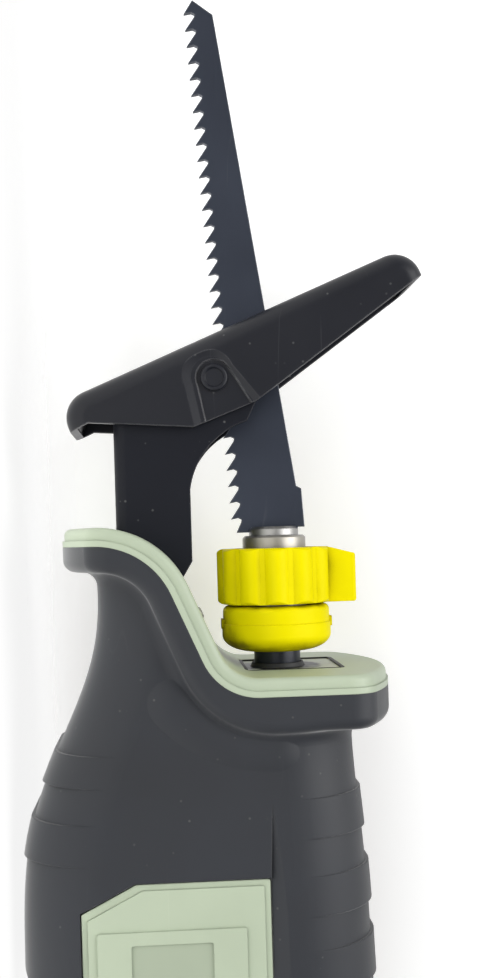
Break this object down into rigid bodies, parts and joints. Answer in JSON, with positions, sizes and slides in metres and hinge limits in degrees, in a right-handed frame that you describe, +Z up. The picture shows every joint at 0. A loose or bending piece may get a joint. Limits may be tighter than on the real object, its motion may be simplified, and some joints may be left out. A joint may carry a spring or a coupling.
{
  "type": "cordless reciprocating saw",
  "caption": "Cordless reciprocating saw: rubber front grip with pale S-shaped nose trim, tilting steel shoe, twist blade clamp, toothed blade, loop-free top handle and slide-on battery.",
  "frame": {"origin": "centre of the bounding box at the bench the saw stands on", "axes": "+X forward along the blade, +Z up through the top of the handle, +Y the saw's left side"},
  "size_m": [0.4824, 0.07, 0.106],
  "materials": {
    "housing_grey": "fine moulded texture",
    "rubber": "matt soft touch",
    "rubber_black": "matt",
    "sage": "satin moulded",
    "yellow": "satin moulded",
    "black_plastic": "fine moulded texture",
    "black_paint": "satin black paint",
    "steel": "machined",
    "dark_steel": "black oxide",
    "blade_steel": "blued, ground along its length",
    "cast_alloy": "as cast",
    "bronze": "sintered",
    "copper": "bare",
    "magnet": "dull",
    "board": "solder mask",
    "lead": "insulation",
    "cell_wrap": "shrink sleeve",
    "nickel": "plated strip",
    "lens": "clear"
  },
  "bodies": {
    "housing": {"housing_left": "housing_grey", "housing_right": "housing_grey", "grip_left": "rubber", "grip_right": "rubber", "panel_left": "sage", "panel_right": "sage", "nose_trim": "sage", "led_lens": "lens", "seal_frame": "rubber_black", "seal_plate": "steel", "wiper_seal": "rubber_black", "gear_frame": "cast_alloy", "front_bush": "bronze", "rear_bush": "bronze", "gear_axle": "steel", "motor_can": "steel", "motor_magnets": "magnet", "motor_cap": "black_plastic", "motor_brushes": "magnet", "motor_screws": "steel", "shoe_bracket": "black_paint", "bracket_bolt": "steel", "handle_pad_left": "rubber", "handle_pad_right": "rubber", "housing_screws": "dark_steel", "switch_body": "black_plastic", "control_board": "board", "terminal_block": "black_plastic", "terminal_tabs": "copper", "leads": "lead"},
    "crank": {"crank_gear": "steel", "crank_pin": "steel", "crank_roller": "steel"},
    "rotor": {"commutator": "copper", "armature": "steel", "windings": "copper", "motor_shaft": "steel", "pinion": "steel"},
    "plunger": {"plunger": "dark_steel", "clamp_body": "steel", "clamp_pin": "steel", "clamp_cover": "yellow", "clamp_spring": "steel", "blade": "blade_steel"},
    "collar": {"clamp_collar": "yellow"},
    "shoe": {"shoe": "black_paint", "shoe_rivets": "dark_steel", "shoe_washers": "steel"},
    "trigger": {"trigger": "black_plastic"},
    "lock_button": {"lock_button": "black_plastic"},
    "battery": {"pack_tub": "black_plastic", "pack_lid": "black_plastic", "pack_cells": "cell_wrap", "cell_straps": "nickel", "pack_contacts": "copper"},
    "latch": {"pack_latch": "sage"}
  },
  "joints": [
    {"name": "crank_turn", "type": "hinge", "parent": "housing", "child": "crank", "pos_m": [0.0313, 0, 0.0555], "axis": [0, 0, 1], "range_deg": [0, 180]},
    {"name": "rotor_spin", "type": "hinge", "parent": "housing", "child": "rotor", "pos_m": [0.0089, 0, 0.0325], "axis": [0, 0, 1], "range_deg": [-661, 1]},
    {"name": "plunger_stroke", "type": "slide", "parent": "housing", "child": "plunger", "axis": [1, 0, 0], "range_m": [0, 0.02]},
    {"name": "collar_twist", "type": "hinge", "parent": "plunger", "child": "collar", "pos_m": [0.0918, 0, 0.0675], "axis": [1, 0, 0], "range_deg": [0, 60], "stiffness_Nm_per_rad": 0.06},
    {"name": "shoe_tilt", "type": "hinge", "parent": "housing", "child": "shoe", "pos_m": [0.1418, 0, 0.0525], "axis": [0, 1, 0], "range_deg": [-40, 0]},
    {"name": "trigger_pull", "type": "slide", "parent": "housing", "child": "trigger", "axis": [0, 0, 1], "range_m": [0, 0.006], "stiffness_N_per_m": 1000},
    {"name": "lock_push", "type": "slide", "parent": "housing", "child": "lock_button", "axis": [0, -1, 0], "range_m": [0, 0.0034], "stiffness_N_per_m": 800},
    {"name": "battery_slide", "type": "slide", "parent": "housing", "child": "battery", "axis": [-1, 0, 0], "range_m": [0, 0.1]},
    {"name": "latch_press", "type": "slide", "parent": "battery", "child": "latch", "axis": [0, 0, -1], "range_m": [0, 0.0025], "stiffness_N_per_m": 1500}
  ],
  "couplings": [
    {"joint": "plunger_stroke", "follows": "crank_turn", "m_per_rad": 0.006366},
    {"joint": "rotor_spin", "follows": "crank_turn", "ratio": -3.6667}
  ]
}
